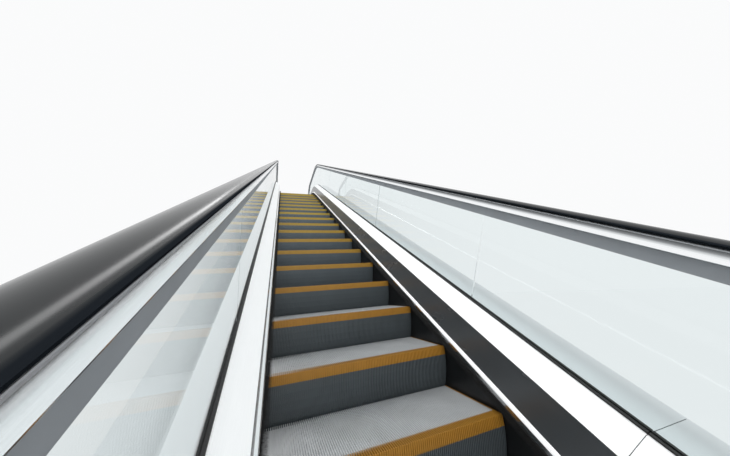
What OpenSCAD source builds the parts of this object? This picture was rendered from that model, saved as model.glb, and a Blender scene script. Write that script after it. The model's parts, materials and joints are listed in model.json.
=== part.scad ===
// Escalator with glass balustrades, complete machine from bearing to bearing.
// X runs across the steps, Y along the direction of travel upwards, Z up.
// The origin is the centre of the lower bearing's seat.
// Inside the modules, y = 0 and z = 0 are the lower working point: the place
// where the line through the step noses meets the level of the lower treads.

/* [Escalator] */
// Height between the two floors
rise = 5000; // [3500:100:6000]
// Slope of the incline in degrees
incline = 30; // [27:0.5:35]
// Radius of the bend between lower landing and incline
lower_r = 1000; // [1000:50:1500]
// Radius of the bend between incline and upper landing
upper_r = 1500; // [1500:50:2500]
// Lower working point to the end of the lower truss
lower_end = 2300; // [2200:20:2800]
// Upper working point to the end of the upper truss
upper_end = 2500; // [2400:20:3000]
// Lower working point to the comb line of the lower landing
lower_comb_y = 1100; // [1050:10:1200]
// Upper working point to the comb line of the upper landing
upper_comb_y = 1250; // [1200:10:1350]

/* [Steps] */
// Width of a step
step_w = 1000; // [600:50:1100]
// Step chain length from one step axle to the next
step_pitch = 405; // [400:1:410]
// Play between a tread and the riser behind it
step_gap = 5; // [3:0.5:6]
// Thickness of the tread with its cleats
tread_t = 26; // [20:1:32]
// Thickness of the riser
riser_t = 16; // [12:1:20]
// Thickness of a step's side webs
web_t = 10; // [6:1:14]
// Reach of the riser below the next tread down
riser_lap = 24; // [15:1:30]
// Width of the yellow edging on the tread
edging_w = 45; // [30:1:50]
// Height of the yellow edging on the riser
edging_h = 42; // [30:1:50]
// Thickness of the yellow edging
edging_t = 6; // [4:1:8]
// Step axle behind the nose
axle_back = 330; // [300:5:350]
// Step axle below the tread
axle_drop = 105; // [95:5:120]
// Trailing roller behind the nose
trail_back = 118; // [112:1:126]
// Trailing roller below the tread
trail_drop = 196; // [190:1:205]
// Radius of the rollers
roller_r = 38; // [30:1:42]
// Width of the rollers
roller_w = 26; // [20:1:32]
// Radius of the step axle
axle_r = 13; // [10:1:16]
// Teeth on a chain wheel, three to a step
wheel_teeth = 16; // [16:1:18]

/* [Balustrade] */
// Running clearance between a step and the skirt
skirt_gap = 4; // [2:0.5:4]
// Thickness of the skirt panel
skirt_t = 4; // [3:0.5:6]
// Top of the skirt above the line of the noses, vertically
skirt_top = 89; // [75:1:110]
// Inner panel height above the skirt
panel_h = 164; // [150:1:180]
// Inner panel's lean outwards over its height
panel_lean = 3; // [0:1:10]
// Rise of the inner deck
deck_h = 59; // [48:1:70]
// Sheet thickness of panels and decks
sheet_t = 3; // [2:0.5:4]
// Glass centre from the step's side
glass_out = 120; // [110:1:140]
// Thickness of the glass
glass_t = 12; // [8:1:14]
// Half width of the profile that clamps the glass
clamp_half = 16; // [12:1:20]
// Bottom of the clamp above the top of the skirt
clamp_base = 160; // [150:1:165]
// Longest pane of glass
pane_max = 1700; // [1200:50:2400]
// Joint between two panes of glass
pane_gap = 4; // [2:0.5:6]
// Handrail seat above the line of the noses, vertically
rail_h = 1043; // [960:1:1080]
// Radius of the handrail's seat at the newels
newel_r = 420; // [400:2:430]
// Newel centre beyond the comb line
newel_out = 380; // [340:5:420]
// Height of the handrail's crown above its seat
crown = 12; // [11:1:18]
// Width of the handrail
handrail_w = 72; // [70:1:84]
// Outer deck's width beyond the glass clamp
outer_deck_w = 215; // [140:5:240]
// Longest length of a panel or deck
panel_max = 2600; // [2000:100:3000]
// Thickness of the side cladding
cladding_t = 10; // [6:1:20]

/* [Truss] */
// Top of the upper chord below the line of the noses, vertically
chord_top = 62; // [56:1:66]
// Depth of the truss over both chords, vertically
truss_depth = 1040; // [1020:10:1120]
// Height of a chord
chord_h = 90; // [70:5:110]
// Width of a chord
chord_w = 66; // [50:2:70]
// Width of posts and diagonals
brace_w = 60; // [40:5:70]
// Longest bay of the truss
bay_max = 1150; // [900:50:1400]
// Thickness of the bottom pan
pan_t = 5; // [3:1:8]
// Reach of a bearing angle beyond the truss
bearing_reach = 120; // [100:5:160]
// Thickness of a bearing angle
bearing_t = 20; // [15:1:25]
// Floor above the bearing seat
floor_above_seat = 200; // [180:5:240]

/* [Landings] */
// Floor above the treads of the landing
comb_rise = 22; // [18:1:26]
// Thickness of the floor plates
plate_t = 18; // [12:1:20]
// Depth of the comb plate from its hinge side to the comb
comb_plate_d = 200; // [180:5:230]
// Depth of the yellow comb segments
comb_d = 120; // [90:5:130]

/* [Hidden] */
$fn = 48;
fine = 360;
far = 20000;
cut_reach = 3000;
blend = 0.02;
seam = 0.5;
ci = cos(incline);
si = sin(incline);
half_tan = tan(incline / 2);
run = rise / tan(incline);
lower_y = -lower_end;
upper_y = run + upper_end;
lwp_y = bearing_reach / 2 + lower_end;
tread_z = floor_above_seat - comb_rise;

// Places across the escalator, from its centre
half_w = step_w / 2;
skirt_x = half_w + skirt_gap;
panel_x = skirt_x + skirt_t;
glass_x = half_w + glass_out;
clamp_in = glass_x - clamp_half;
clamp_out = glass_x + clamp_half;
deck_in = skirt_x + panel_lean;
outer_x = clamp_out + outer_deck_w;
side_x = outer_x - cladding_t;
chord_x = side_x - chord_w;
brace_inset = chord_w / 5;
brace_x = chord_x + brace_inset;
roller_out = 32;
web_inset = 3;
trail_gap = 6;
chain_x = half_w + roller_out + roller_w / 2;
web_x = half_w - web_inset;
trail_x = web_x - web_t - trail_gap - roller_w;

// Heights above the top of the skirt, square to the path
deck_top = panel_h + deck_h;
lip = 8;
clamp_proud = 6;
bend_play = 1;
deck_fold = 14;
deck_skirt = 60;
seat = 0.3;
panel_joint = 2;

// The path of the noses, by its length from the start of the lower bend
arc_l = lower_r * incline * PI / 180;
arc_u = upper_r * incline * PI / 180;
straight_l = run / ci - (lower_r + upper_r) * half_tan;
straight_end = arc_l + straight_l;
path_l = straight_end + arc_u;
bend_in = -lower_r * half_tan;
bend_out = run + upper_r * half_tan;
function joint_at(s) = s > 0 && s < path_l ? panel_joint / 2 : seam / 2;
function low_s(y) = y - bend_in;
function high_s(y) = y - bend_out + path_l;
function lower_angle(s) = s / lower_r * 180 / PI;
function upper_angle(s) = incline - (s - straight_end) / upper_r * 180 / PI;
function on_lower_arc(a) = [bend_in + lower_r * sin(a), lower_r * (1 - cos(a))];
function on_upper_arc(a) = [bend_out - upper_r * sin(a), rise - upper_r * (1 - cos(a))];
function path_point(s) =
    s < 0 ? [bend_in + s, 0] :
    s < arc_l ? on_lower_arc(lower_angle(s)) :
    s < straight_end ? on_lower_arc(incline) + (s - arc_l) * [ci, si] :
    s < path_l ? on_upper_arc(upper_angle(s)) :
    [bend_out + s - path_l, rise];
function path_angle(s) =
    s < 0 || s > path_l ? 0 :
    s < arc_l ? lower_angle(s) :
    s < straight_end ? incline : upper_angle(s);

// Step places: each axle lies one chain pitch from the last, as the chain's chord
function search(s, lo, hi, tries) =
    tries == 0 ? (lo + hi) / 2 :
    let (mid = (lo + hi) / 2)
    norm(path_point(s + mid) - path_point(s)) < step_pitch
        ? search(s, mid, hi, tries - 1) : search(s, lo, mid, tries - 1);
function next_s(s) = s + search(s, step_pitch - 1, step_pitch * 1.1, 24);
function chain(s, count) =
    count == 0 ? [s] : concat([s], chain(next_s(s), count - 1));

tread_d = step_pitch - step_gap;
riser_h = step_pitch * si + riser_lap;
link_l = step_pitch / 3;
wheel_r = link_l / 2 / sin(180 / wheel_teeth);
wheel_z = -axle_drop - wheel_r;
nose_under_comb = 40;
first_s = low_s(nose_under_comb - lower_comb_y - 2 * step_pitch);
step_count = floor((high_s(run + upper_comb_y) - first_s) / step_pitch) + 1;
step_s = chain(first_s, step_count);
lower_wheel_y = path_point(first_s)[0] + axle_back;
upper_wheel_y = path_point(step_s[step_count])[0] + axle_back;
track_t = 6;
track_w = roller_w + 4;
track_start = wheel_r + 20;
chain_track_v = -axle_drop - roller_r;
trail_track_v = -trail_drop - roller_r;
frame_top = -420;
frame_h = 80;
shaft_post_w = 150;
post_t = 10;
end_sheet_gap = 10;
pan_seam = 1;

// Landings
lower_newel_y = -lower_comb_y - newel_out;
upper_newel_y = run + upper_comb_y + newel_out;
base_end = 120;
inlet_l = 60;
lower_base_y = lower_newel_y + base_end;
upper_base_y = upper_newel_y - base_end;
newel_z = rail_h - newel_r;
return_h = rail_h - 2 * newel_r;
floor_z = comb_rise;

// Joints of the panels, and of the panes of glass, as lengths along the path
panel_count = ceil(straight_l / panel_max);
panel_s = concat([low_s(lower_base_y), 0],
    [for (i = [0 : panel_count]) arc_l + i * straight_l / panel_count],
    [path_l, high_s(upper_base_y)]);
cladding_count = 2 * panel_count;
cladding_s = concat([0, path_l],
    [for (i = [0 : cladding_count]) arc_l + i * straight_l / cladding_count]);
pane_count = ceil(straight_l / pane_max);
pane_s = concat([0], [for (i = [0 : pane_count]) arc_l + i * straight_l / pane_count],
    [path_l]);
bay_count = ceil(run / bay_max);
post_y = concat([lower_y + brace_w / 2, lower_y / 2],
    [for (i = [0 : bay_count]) i * run / bay_count],
    [run + upper_end / 2, upper_y - brace_w / 2]);

// Handrail and its guide, from the handrail's seat; below the bead the guide flares to
// its lower edge, and the seal of the glass shows under it
crown_r = 52;
rail_corner = 10;
rail_lip = 11;
rail_play = 2;
flange_half = 27;
flange_t = 5;
neck_half = 19;
bead_top = rail_lip + rail_play;
bead_half = 23;
bead_h = 3;
flare_in = 18;
flare_half = 24.5;
flare_low = 51;
flare_r = 90;
seal_half = 11;
seal_low = 99;
glass_in_guide = 40;
glass_in_clamp = 10;

// Puts a module's working-point coordinates into the part's frame
module placed() {
    translate([0, lwp_y, tread_z]) children();
}

// A plate lying along the escalator: its outline in y and z, from x1 to x2
module plate(x1, x2) {
    translate([x1, 0, 0]) rotate([90, 0, 90]) linear_extrude(x2 - x1) children();
}

// A piece in its place, on the right, or on the left where sign is -1
module side(sign) {
    placed() if (sign > 0) children(); else mirror([1, 0, 0]) children();
}

// Everything below the path of the noses, moved by dy and v and offset by n
module below(v, dy = 0, n = 0) {
    low = [dy - n * half_tan, v + n];
    high = [dy + run - n * half_tan, rise + v + n];
    tl = (lower_r - n) * half_tan;
    tu = (upper_r + n) * half_tan;
    difference() {
        union() {
            polygon([[-far, -far], [far, -far], [far, high[1]], high, low, [-far, low[1]]]);
            difference() {
                polygon([low - [tl, 0], low, low + tl * [ci, si]]);
                translate(low + [-tl, lower_r - n]) circle(lower_r - n - blend, $fn = fine);
            }
        }
        difference() {
            polygon([high - tu * [ci, si], high, high + [tu, 0]]);
            translate(high + [tu, -upper_r - n]) circle(upper_r + n + blend, $fn = fine);
        }
    }
}

// Everything below the kinked line through the two working points
module below_kinked(v) {
    polygon([[-far, -far], [far, -far], [far, rise + v], [run, rise + v], [0, v], [-far, v]]);
}

// A strip of the plane between two values of y
module between(y1, y2) {
    translate([y1, -far]) square([y2 - y1, 2 * far]);
}

// A thin cut square to the path at length s
module cut_at(s, gap) {
    translate(path_point(s)) rotate(path_angle(s)) translate([-gap / 2, -cut_reach])
        square([gap, 2 * cut_reach]);
}

// A section, drawn in x and height, drawn out along the path from s1 to s2
module sweep(v, s1, s2) {
    translate([0, 0, v]) {
        if (s1 < 0) stretch([bend_in + s2, 0], s2 - s1, 0) children();
        else if (s1 < arc_l) lower_bend(s1, s2) children();
        else if (s1 < straight_end) stretch(path_point(s2), s2 - s1, incline) children();
        else if (s1 < path_l) upper_bend(s1 - straight_end, s2 - straight_end) children();
        else stretch(path_point(s2), s2 - s1, 0) children();
    }
}
module stretch(top, length, angle) {
    translate([0, top[0], top[1]]) rotate([90 + angle, 0, 0]) linear_extrude(length) children();
}
module lower_bend(a1, a2) {
    from = a1 / lower_r * 180 / PI;
    translate([0, bend_in, lower_r]) rotate([0, 90, 0]) rotate(from)
        rotate_extrude(angle = (a2 - a1) / lower_r * 180 / PI, $fn = fine)
        translate([lower_r, 0]) rotate(90) children();
}
module upper_bend(a1, a2) {
    from = a1 / upper_r * 180 / PI - incline;
    translate([0, bend_out, rise - upper_r]) rotate([0, -90, 0]) rotate(from)
        rotate_extrude(angle = (a2 - a1) / upper_r * 180 / PI, $fn = fine)
        translate([upper_r, 0]) rotate(-90) children();
}

// A section drawn out in lengths that meet at hairline seams
module lengths(v, stations) {
    for (i = [0 : len(stations) - 2])
        sweep(v, stations[i] + seam / 2, stations[i + 1] - seam / 2) children();
}

// A section drawn out along the balustrade, with its joints
module panels(v) {
    for (i = [0 : len(panel_s) - 2])
        sweep(v, panel_s[i] + joint_at(panel_s[i]),
            panel_s[i + 1] - joint_at(panel_s[i + 1])) children();
}

// A flat bar between two points of a side view
module bar(p, q, w) {
    d = q - p;
    translate(p) rotate(atan2(d[1], d[0])) translate([0, -w / 2]) square([norm(d), w]);
}
function kink_z(y) = y < 0 ? 0 : y > run ? rise : y * tan(incline);
function chord_point(y, v) = [y, kink_z(y) + v];

// One side of the truss between two values of y
module truss_side(y1, y2) {
    bottom = -chord_top - truss_depth;
    mid_bottom = bottom + chord_h / 2;
    mid_top = -chord_top - chord_h / 2;
    plate(chord_x, chord_x + chord_w) intersection() {
        between(y1, y2);
        union() {
            difference() {
                below_kinked(-chord_top);
                below_kinked(-chord_top - chord_h);
            }
            difference() {
                below_kinked(bottom + chord_h);
                below_kinked(bottom);
            }
        }
    }
    plate(brace_x, 2 * chord_x + chord_w - brace_x) intersection() {
        between(y1, y2);
        difference() {
            below_kinked(-chord_top - chord_h / 2);
            below_kinked(bottom + chord_h / 2);
        }
        union() {
            for (y = post_y)
                translate([y - brace_w / 2, kink_z(y) - 2 * truss_depth])
                    square([brace_w, 2 * truss_depth]);
            for (y = [lower_wheel_y, upper_wheel_y])
                translate([y - shaft_post_w / 2, kink_z(y) - 2 * truss_depth])
                    square([shaft_post_w, 2 * truss_depth]);
            for (i = [0 : len(post_y) - 2])
                bar(chord_point(post_y[i], mid_top), chord_point(post_y[i + 1], mid_bottom),
                    brace_w);
        }
    }
}

module lower_truss() {
    color("slategray") truss_side(lower_y, 0);
}
module incline_truss() {
    color("slategray") truss_side(0, run);
}
module upper_truss() {
    color("slategray") truss_side(run, upper_y);
}

// A frame across the truss with the posts that carry the step tracks
module cross_frame(y) {
    z = kink_z(y);
    bottom = z - chord_top - truss_depth;
    plate(-chord_x, chord_x) difference() {
        translate([y - brace_w / 2, bottom]) square([brace_w, frame_h]);
        below_kinked(-chord_top - truss_depth);
    }
    plate(-brace_x, brace_x) translate([y - brace_w / 2, z + frame_top - frame_h])
        square([brace_w, frame_h]);
    if (y > lower_wheel_y + track_start && y < upper_wheel_y - track_start) {
        for (m = [0, 1]) mirror([m, 0, 0]) {
            track_post(y, chain_x, chain_track_v, axle_back);
            track_post(y, trail_x + roller_w / 2, trail_track_v, trail_back);
        }
    }
}
module track_post(y, x, v, back) {
    plate(x - post_t / 2, x + post_t / 2) intersection() {
        translate([y - brace_w / 2, kink_z(y) + frame_top]) square([brace_w, truss_depth]);
        below(v - track_t, back);
    }
}
module cross_frames() {
    color("dimgray") placed() for (y = post_y) cross_frame(y);
}

// Sheets under the truss and across its two ends
module bottom_pan() {
    bottom = -chord_top - truss_depth;
    wide = chord_x + chord_w;
    color("gainsboro") placed() {
        for (r = [[lower_y, -pan_seam], [pan_seam, run - pan_seam], [run + pan_seam, upper_y]])
            plate(-wide, wide) intersection() {
                between(r[0], r[1]);
                difference() {
                    below_kinked(bottom);
                    below_kinked(bottom - pan_t);
                }
            }
        for (p = [[lower_y - pan_t, 0], [upper_y, rise]])
            plate(-wide, wide) translate([p[0], p[1] + bottom])
                square([pan_t, truss_depth + chord_top - tread_z - end_sheet_gap]);
    }
}

// The angle that rests on the building, at the end of the truss
module bearing_angle() {
    leg = floor_above_seat - comb_rise - chord_top;
    plate(-side_x, side_x) polygon([[-bearing_reach, 0], [0, 0], [0, leg],
        [-bearing_t, leg], [-bearing_t, bearing_t], [-bearing_reach, bearing_t]]);
}
module lower_bearing() {
    color("slategray") translate([0, bearing_reach / 2, 0]) bearing_angle();
}
module upper_bearing() {
    color("slategray") translate([0, lwp_y + upper_y, rise]) mirror([0, 1, 0]) bearing_angle();
}

// Panels on the outside of the truss
module side_cladding() {
    color("white") plate(side_x, outer_x) difference() {
        intersection() {
            translate([lower_base_y, floor_z])
                square([upper_y - lower_base_y, rise + rail_h]);
            below(skirt_top, 0, deck_top - deck_skirt);
        }
        below_kinked(-chord_top - truss_depth);
        for (s = cladding_s) cut_at(s, panel_joint);
        translate([upper_base_y, rise + floor_z]) square([upper_end, far]);
    }
}

// A landing's floor plate with its rim on the chords; y1 is the outer end
module floor_plate(y1, y2, y3) {
    low = min(y1, y2);
    color("silver") {
        translate([-side_x, low, floor_z - plate_t]) cube([2 * side_x, abs(y2 - y1), plate_t]);
        translate([-skirt_x, min(y2, y3), floor_z - plate_t])
            cube([2 * skirt_x, abs(y3 - y2), plate_t]);
        for (m = [0, 1]) mirror([m, 0, 0]) translate([chord_x, low, -chord_top])
            cube([chord_w, abs(y2 - y1), chord_top + floor_z - plate_t]);
    }
}
module lower_floor_plate() {
    placed() floor_plate(lower_y, lower_base_y, -lower_comb_y - comb_plate_d);
}
module upper_floor_plate() {
    placed() translate([0, 0, rise])
        floor_plate(upper_y, upper_base_y, run + upper_comb_y + comb_plate_d);
}

// Combs: way is 1 at the lower landing, where the teeth point up the flight
module at_combs() {
    placed() {
        translate([0, -lower_comb_y, 0]) children();
        translate([0, run + upper_comb_y, rise]) mirror([0, 1, 0]) children();
    }
}
comb_play = 1;
comb_bevel = 48;
tooth_top = 8;
tooth_low = 4;
module comb_plates() {
    color("silver") at_combs()
        translate([comb_play - skirt_x, -comb_plate_d, floor_z - plate_t])
        cube([2 * (skirt_x - comb_play), comb_plate_d - comb_d, plate_t]);
}
module combs() {
    color("gold") at_combs() plate(comb_play - skirt_x, skirt_x - comb_play)
        polygon([[-comb_d, floor_z - plate_t], [-comb_d, floor_z],
            [comb_bevel - comb_d, floor_z], [0, tooth_top], [0, tooth_low]]);
}

// The outline of a step's tread and riser, from its nose
module riser_arc(inset) {
    translate([step_pitch, 0]) circle(step_pitch - inset, $fn = fine);
}
module step_skin() {
    intersection() {
        riser_arc(0);
        union() {
            translate([0, -tread_t]) square([tread_d, tread_t]);
            difference() {
                translate([0, -riser_h]) square([step_pitch / 2, riser_h]);
                riser_arc(riser_t);
            }
        }
    }
}
module edging_outline() {
    intersection() {
        riser_arc(0);
        union() {
            translate([0, -edging_t]) square([edging_w, edging_t]);
            difference() {
                translate([0, -edging_h]) square([edging_w, edging_h]);
                riser_arc(edging_t);
            }
        }
    }
}
web_start = 30;
web_end = 14;
hub_r = 28;
foot_back = 34;
foot_rise = 4;
module web_outline() {
    polygon([[web_start, -tread_t / 2], [tread_d - web_end, -tread_t / 2],
        [axle_back + hub_r, -axle_drop], [axle_back, -axle_drop - hub_r],
        [trail_back + hub_r / 2, -trail_drop - hub_r / 2],
        [step_pitch * (1 - ci) + foot_back, foot_rise - riser_h]]);
}
axle_end = 2;
trail_pin_r = 9;
module step() {
    plate(-half_w, half_w) difference() {
        step_skin();
        edging_outline();
    }
    for (x = [-web_x, -web_t / 2, web_x - web_t]) plate(x, x + web_t) difference() {
        web_outline();
        edging_outline();
        difference() {
            translate([-step_pitch, -far]) square([2 * step_pitch, 2 * far]);
            riser_arc(riser_t / 2);
        }
    }
    for (m = [0, 1]) mirror([m, 0, 0]) {
        axle([axle_back, -axle_drop], web_x - web_t, chain_x + roller_w / 2 + axle_end, axle_r);
        axle([axle_back, -axle_drop], chain_x - roller_w / 2, chain_x + roller_w / 2, roller_r);
        axle([trail_back, -trail_drop], trail_x, web_x - web_t, trail_pin_r);
        axle([trail_back, -trail_drop], trail_x, trail_x + roller_w, roller_r);
    }
}
module axle(p, x1, x2, r) {
    plate(x1, x2) translate(p) circle(r);
}
module on_steps() {
    placed() for (s = step_s) translate([0, path_point(s)[0], path_point(s)[1]]) children();
}
module steps() {
    color("silver") on_steps() step();
}
module step_edging() {
    color("goldenrod") on_steps() plate(-half_w, half_w) edging_outline();
}

// Chain links from axle to axle, the odd ones outside the even ones
link_t = 5;
link_eye_r = 22;
link_waist = 36;
link_gap = 0.3;
module link_outline(p, q) {
    bar(p, q, link_waist);
    translate(p) circle(link_eye_r);
    translate(q) circle(link_eye_r);
}
module step_chains() {
    color("dimgray") placed() for (i = [0 : step_count - 1], m = [0, 1])
        mirror([m, 0, 0]) {
            axle_at = [axle_back, -axle_drop];
            x = chain_x + roller_w / 2 + axle_end + (i % 2) * (link_t + link_gap);
            plate(x, x + link_t)
                link_outline(path_point(step_s[i]) + axle_at,
                    path_point(step_s[i + 1]) + axle_at);
        }
}

// Rails for the chain rollers and for the trailing rollers
module track(x, v, back, y1, y2) {
    plate(x - track_w / 2, x + track_w / 2) intersection() {
        between(y1, y2);
        difference() {
            below(v, back);
            below(v - track_t, back);
        }
    }
}
module step_tracks() {
    color("dimgray") placed() for (m = [0, 1]) mirror([m, 0, 0]) {
        track(chain_x, chain_track_v, axle_back, lower_wheel_y + track_start,
            upper_wheel_y - track_start);
        track(trail_x + roller_w / 2, trail_track_v, trail_back, lower_wheel_y - axle_back,
            upper_wheel_y);
    }
}

// Toothed wheels at the two ends of the step chains
tooth_play = 1;
wheel_t = 16;
shaft_r = 55;
wheel_rim = 10;
module chain_wheel(y) {
    for (m = [0, 1]) mirror([m, 0, 0]) plate(chain_x - wheel_t / 2, chain_x + wheel_t / 2)
        difference() {
            translate([y, wheel_z]) circle(wheel_r + wheel_rim);
            for (i = [0 : wheel_teeth - 1]) {
                a = 90 + i * 360 / wheel_teeth;
                translate([y, wheel_z] + wheel_r * [cos(a), sin(a)])
                    circle(roller_r + tooth_play);
            }
        }
    plate(-brace_x, brace_x) translate([y, wheel_z]) circle(shaft_r);
}
module chain_wheels() {
    color("slategray") placed() {
        chain_wheel(lower_wheel_y);
        translate([0, 0, rise]) chain_wheel(upper_wheel_y);
    }
}

// Skirt beside the steps, down to just above the step axles
skirt_axle_gap = 16;
module skirt() {
    color([0.12, 0.12, 0.13]) plate(skirt_x, panel_x) difference() {
        intersection() {
            between(lower_base_y, upper_base_y);
            below(skirt_top);
        }
        below(-axle_drop + axle_r + skirt_axle_gap, axle_back);
        for (s = panel_s) if (s > 0 && s < path_l) cut_at(s, panel_joint);
    }
}

// Sections of the balustrade, in x and height above the skirt
strip_out = 16;
strip_h = 34;
strip_slope = 12;
strip_edge = 4;
brush_out = 48;
brush_h = 20;
brush_tip = 11;
brush_tip_t = 3;
module strip_section() {
    polygon([[skirt_x, 0], [skirt_x - strip_out + strip_edge, -strip_slope + strip_edge],
        [skirt_x - strip_out, -strip_slope], [skirt_x - strip_out, -strip_h + strip_edge],
        [skirt_x - strip_out + strip_edge, -strip_h], [skirt_x, -strip_h]]);
}
module brush_section() {
    translate([0, -strip_h]) polygon([[skirt_x, 0], [skirt_x - strip_out, 0],
        [skirt_x - brush_out, -brush_tip], [skirt_x - brush_out, -brush_tip - brush_tip_t],
        [skirt_x - strip_out, -brush_h], [skirt_x, -brush_h]]);
}
module panel_section() {
    polygon([[skirt_x, 0], [panel_x, 0], [deck_in + sheet_t, panel_h], [deck_in, panel_h]]);
}
module inner_deck_section() {
    polygon([[deck_in, panel_h], [clamp_in - lip, deck_top], [clamp_in, deck_top],
        [clamp_in, deck_top - sheet_t], [clamp_in - lip + bend_play, deck_top - sheet_t],
        [deck_in + sheet_t + bend_play, panel_h]]);
}
module outer_deck_section() {
    top = deck_top - sheet_t;
    polygon([[clamp_out, top], [clamp_out, deck_top], [outer_x, deck_top - deck_fold],
        [outer_x, deck_top - deck_skirt], [outer_x - sheet_t, deck_top - deck_skirt],
        [outer_x - sheet_t, top - deck_fold]]);
}
module clamp_section() {
    difference() {
        translate([clamp_in, clamp_base]) square([2 * clamp_half, deck_top + clamp_proud - clamp_base]);
        translate([glass_x - glass_t / 2, clamp_base + glass_in_clamp])
            square([glass_t, deck_top]);
    }
}
module guide_section() {
    translate([glass_x, 0]) difference() {
        union() {
            translate([-flange_half, -flange_t]) square([2 * flange_half, flange_t]);
            translate([-neck_half, -bead_top - 1]) square([2 * neck_half, bead_top]);
            translate([-bead_half, -bead_top - bead_h]) square([2 * bead_half, bead_h]);
            difference() {
                translate([-flare_half, -flare_low])
                    square([2 * flare_half, flare_low - bead_top - bead_h / 2]);
                for (m = [-1, 1]) translate([m * (flare_in + flare_r), -bead_top - bead_h])
                    circle(flare_r, $fn = 96);
            }
            translate([-seal_half, -seal_low]) square([2 * seal_half, seal_low - bead_top]);
        }
        translate([-glass_t / 2, -2 * seal_low])
            square([glass_t, 2 * seal_low - glass_in_guide]);
    }
}
module rounded(w, low, high, r) {
    translate([-w / 2 + r, low]) square([w - 2 * r, high - low]);
    translate([-w / 2, low + r]) square([w, high - low - 2 * r]);
    for (x = [-w / 2 + r, w / 2 - r], z = [low + r, high - r]) translate([x, z]) circle(r);
}
module handrail_section() {
    slot_half = flange_half + rail_play;
    translate([glass_x, 0]) difference() {
        intersection() {
            rounded(handrail_w, -rail_lip, crown, rail_corner);
            translate([0, crown - crown_r]) circle(crown_r, $fn = 96);
        }
        translate([-slot_half, -flange_t - rail_play / 2])
            square([2 * slot_half, flange_t + rail_play / 2 + seat]);
        translate([-neck_half - rail_play, -rail_lip - 1])
            square([2 * (neck_half + rail_play), rail_lip]);
    }
}

module skirt_strip() {
    color("whitesmoke") panels(skirt_top) strip_section();
}
module skirt_brush() {
    color([0.08, 0.08, 0.08]) panels(skirt_top) brush_section();
}
module inner_panel() {
    color([0.25, 0.26, 0.27]) panels(skirt_top) panel_section();
}
module inner_deck() {
    color("gainsboro") panels(skirt_top) inner_deck_section();
}
module outer_deck() {
    color("gainsboro") panels(skirt_top) outer_deck_section();
}
module glass_clamp() {
    color([0.1, 0.1, 0.1]) panels(skirt_top) clamp_section();
}

// Brackets that carry the balustrade on the truss
bracket_t = 10;
bracket_w = 50;
bracket_in = 150;
skirt_arm_drop = 20;
bracket_s = concat([panel_s[0] + bracket_in, -bracket_in],
    [for (i = [2 : len(panel_s) - 4], e = [panel_s[i] + bracket_in,
        panel_s[i + 1] - bracket_in]) e],
    [path_l + bracket_in, panel_s[len(panel_s) - 1] - bracket_in]);
module bracket(a) {
    foot = (-chord_top - skirt_top) * cos(a);
    arm = clamp_base - bracket_t;
    low_arm = (-skirt_top - skirt_arm_drop) * cos(a);
    translate([chord_x, foot]) square([bracket_t, clamp_base - foot]);
    translate([clamp_in, arm]) square([chord_x + bracket_t - clamp_in, bracket_t]);
    translate([panel_x, low_arm]) square([chord_x - panel_x, bracket_t]);
}
module balustrade_brackets() {
    color("dimgray") for (sign = [-1, 1]) side(sign) for (s = bracket_s) {
        p = path_point(s);
        a = path_angle(s);
        translate([0, p[0], p[1] + skirt_top]) rotate([90 + a, 0, 0])
            translate([0, 0, -bracket_w / 2]) linear_extrude(bracket_w) bracket(a);
    }
}

// Glass, from the clamp to the handrail's guide
module newel_disc(y, z) {
    translate([y, z + newel_z]) circle(newel_r - glass_in_guide, $fn = fine);
}
module glass() {
    color([0.75, 0.9, 0.86, 0.4]) plate(glass_x - glass_t / 2, glass_x + glass_t / 2)
        difference() {
            union() {
                intersection() {
                    between(lower_newel_y, upper_newel_y);
                    below(rail_h, 0, -glass_in_guide);
                }
                newel_disc(lower_newel_y, 0);
                newel_disc(upper_newel_y, rise);
            }
            below(skirt_top, 0, clamp_base + glass_in_clamp);
            for (s = pane_s) cut_at(s, pane_gap);
        }
}

// The round end of the handrail or its guide, from its lowest point to its highest
module newel_turn(y, z) {
    translate([0, y, z + newel_z]) rotate([0, 90, 0]) rotate(180)
        rotate_extrude(angle = 180, $fn = fine) translate([newel_r, 0]) rotate(-90)
        mirror([1, 0, 0]) children();
}
module loop_ends() {
    newel_turn(lower_newel_y, 0) children();
    translate([0, 2 * upper_newel_y, 0]) mirror([0, 1, 0]) newel_turn(upper_newel_y, rise)
        children();
}
whole_s = [low_s(lower_newel_y), 0, arc_l, straight_end, path_l, high_s(upper_newel_y)];
module handrail_guide() {
    color("lightgray") {
        lengths(rail_h, whole_s) guide_section();
        loop_ends() guide_section();
        lengths(return_h, [low_s(lower_newel_y), low_s(lower_base_y - inlet_l)])
            mirror([0, 1]) guide_section();
        lengths(return_h, [high_s(upper_base_y + inlet_l), high_s(upper_newel_y)])
            mirror([0, 1]) guide_section();
    }
}
module handrail() {
    color([0.1, 0.1, 0.1]) {
        lengths(rail_h, whole_s) handrail_section();
        lengths(return_h, whole_s) mirror([0, 1]) handrail_section();
        loop_ends() handrail_section();
    }
}

// Boxes at the ends of the balustrades, where the handrails run in
inlet_play = 6;
inlet_r = 14;
module inlet(y) {
    top = skirt_top + deck_top;
    translate([0, y + inlet_l / 2, 0]) rotate([90, 0, 0]) linear_extrude(inlet_l) difference() {
        polygon([[skirt_x, floor_z], [skirt_x, skirt_top], [deck_in, skirt_top + panel_h],
            [clamp_in - lip, top], [clamp_out, top], [outer_x, top - deck_fold],
            [outer_x, floor_z]]);
        translate([glass_x, return_h]) rounded(handrail_w + 2 * inlet_play, -crown - inlet_play,
            rail_lip + inlet_play, inlet_r);
    }
}
module handrail_inlets() {
    color([0.1, 0.1, 0.1]) for (sign = [-1, 1]) side(sign) {
        inlet(lower_base_y - inlet_l / 2);
        translate([0, 0, rise]) inlet(upper_base_y + inlet_l / 2);
    }
}

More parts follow.
